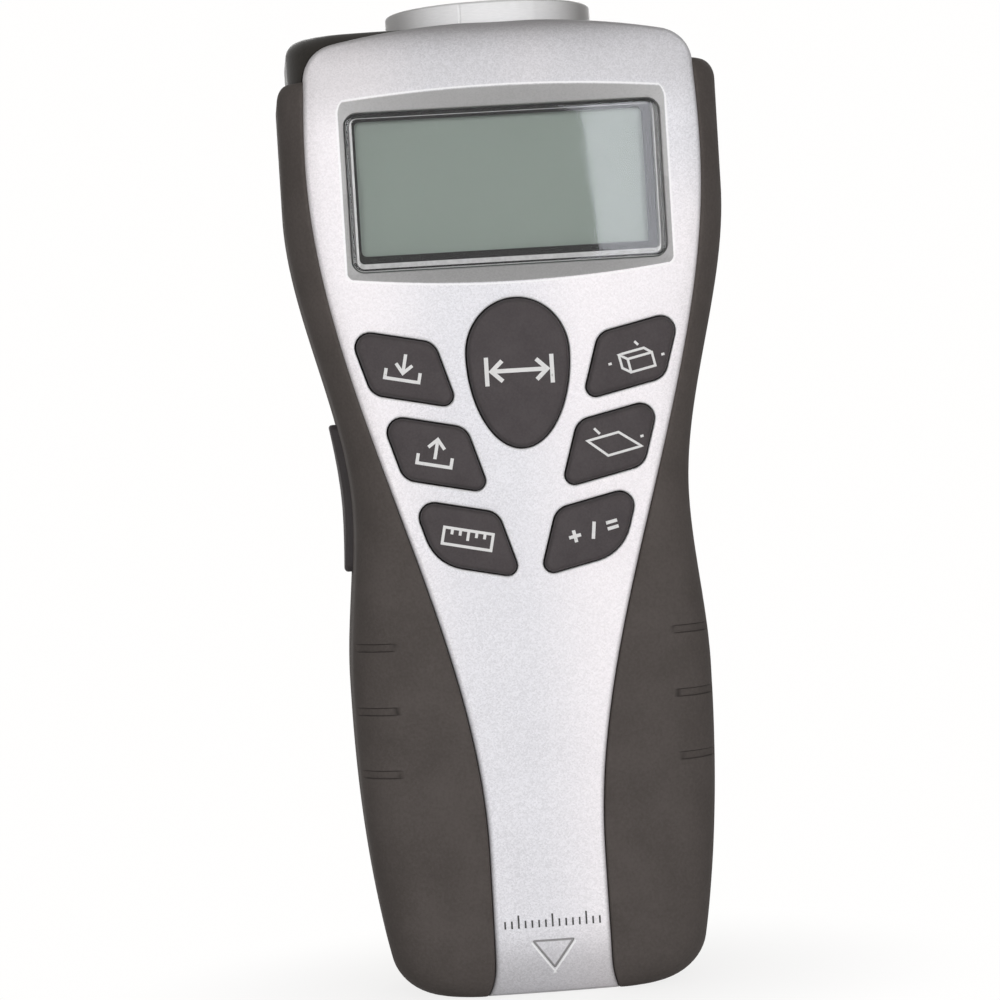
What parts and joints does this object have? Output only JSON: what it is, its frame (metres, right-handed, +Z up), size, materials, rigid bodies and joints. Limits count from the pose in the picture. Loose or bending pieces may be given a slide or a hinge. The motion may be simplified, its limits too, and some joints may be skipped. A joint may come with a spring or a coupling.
{
  "type": "laser distance meter",
  "caption": "Handheld laser and sonic distance meter with a round sensor collar, a display window, rubber side grips, an egg-shaped measuring key, slanted keys and a rear battery door.",
  "frame": {"origin": "centre of the base, the edge that a distance is measured from", "axes": "+Z up from the base to the sensor collar along the measuring direction, -Y out of the face, +X to the right of the face"},
  "size_m": [0.0656, 0.0388, 0.147],
  "materials": {
    "silver_paint": "satin silver paint with a fine metallic grain",
    "black_plastic": "fine textured moulding",
    "grip_rubber": "matte soft-touch rubber",
    "collar_silver": "silver finish",
    "horn_black": "smooth black moulding",
    "transducer_can": "drawn can",
    "grille_metal": "perforated sheet",
    "red_filter": "polished",
    "laser_brass": "turned",
    "clear_lens": "polished",
    "window_clear": "polished",
    "gasket_black": "matte",
    "lcd_glass": "reflective display glass",
    "frame_white": "moulded",
    "strip_rubber": "layered contact rubber",
    "board_green": "solder mask",
    "chip_black": "moulded",
    "winding": "varnished winding",
    "capacitor_can": "sleeved can",
    "dome_steel": "stamped",
    "mat_rubber": "silicone",
    "key_rubber": "matte with pale printed marks",
    "battery_can": "printed steel can",
    "lead_pvc": "insulated wire",
    "pad_foam": "foam",
    "screw_steel": "zinc plated"
  },
  "bodies": {
    "case": {"face_panel": "silver_paint", "front_frame": "black_plastic", "rear_cover": "black_plastic", "left_grip": "grip_rubber", "right_grip": "grip_rubber", "sensor_collar": "collar_silver", "sensor_horn": "horn_black", "transducer": "transducer_can", "transducer_boot": "gasket_black", "transducer_grille": "grille_metal", "laser_window": "red_filter", "laser_module": "laser_brass", "laser_lens": "clear_lens", "display_window": "window_clear", "window_gasket": "gasket_black", "lcd_panel": "lcd_glass", "lcd_frame": "frame_white", "contact_strip": "strip_rubber", "main_board": "board_green", "board_chips": "chip_black", "drive_transformer": "winding", "board_capacitors": "capacitor_can", "buzzer": "chip_black", "snap_domes": "dome_steel", "keypad_mat": "mat_rubber", "side_switch": "chip_black", "side_board": "board_green", "battery": "battery_can", "battery_snap": "chip_black", "battery_leads": "lead_pvc", "sensor_leads": "lead_pvc", "laser_lead": "lead_pvc", "case_screws": "screw_steel", "board_screws": "screw_steel"},
    "read_key": {"read_key": "key_rubber"},
    "store_key": {"store_key": "key_rubber"},
    "recall_key": {"recall_key": "key_rubber"},
    "unit_key": {"unit_key": "key_rubber"},
    "volume_key": {"volume_key": "key_rubber"},
    "area_key": {"area_key": "key_rubber"},
    "sum_key": {"sum_key": "key_rubber"},
    "side_key": {"side_key": "key_rubber"},
    "door": {"battery_door": "black_plastic", "battery_pad": "pad_foam"}
  },
  "joints": [
    {"name": "read_press", "type": "slide", "parent": "case", "child": "read_key", "axis": [0, 1, 0], "range_m": [0, 0.0009], "stiffness_N_per_m": 800, "springref_m": -0.0003},
    {"name": "store_press", "type": "slide", "parent": "case", "child": "store_key", "axis": [0, 1, 0], "range_m": [0, 0.0009], "stiffness_N_per_m": 800, "springref_m": -0.0003},
    {"name": "recall_press", "type": "slide", "parent": "case", "child": "recall_key", "axis": [0, 1, 0], "range_m": [0, 0.0009], "stiffness_N_per_m": 800, "springref_m": -0.0003},
    {"name": "unit_press", "type": "slide", "parent": "case", "child": "unit_key", "axis": [0, 1, 0], "range_m": [0, 0.0009], "stiffness_N_per_m": 800, "springref_m": -0.0003},
    {"name": "volume_press", "type": "slide", "parent": "case", "child": "volume_key", "axis": [0, 1, 0], "range_m": [0, 0.0009], "stiffness_N_per_m": 800, "springref_m": -0.0003},
    {"name": "area_press", "type": "slide", "parent": "case", "child": "area_key", "axis": [0, 1, 0], "range_m": [0, 0.0009], "stiffness_N_per_m": 800, "springref_m": -0.0003},
    {"name": "sum_press", "type": "slide", "parent": "case", "child": "sum_key", "axis": [0, 1, 0], "range_m": [0, 0.0009], "stiffness_N_per_m": 800, "springref_m": -0.0003},
    {"name": "side_press", "type": "slide", "parent": "case", "child": "side_key", "axis": [1, 0, 0], "range_m": [0, 0.0008], "stiffness_N_per_m": 800, "springref_m": -0.0003},
    {"name": "door_hinge", "type": "hinge", "parent": "case", "child": "door", "pos_m": [0, 0.01415, 0.0084], "axis": [-1, 0, 0], "range_deg": [0, 95]}
  ]
}
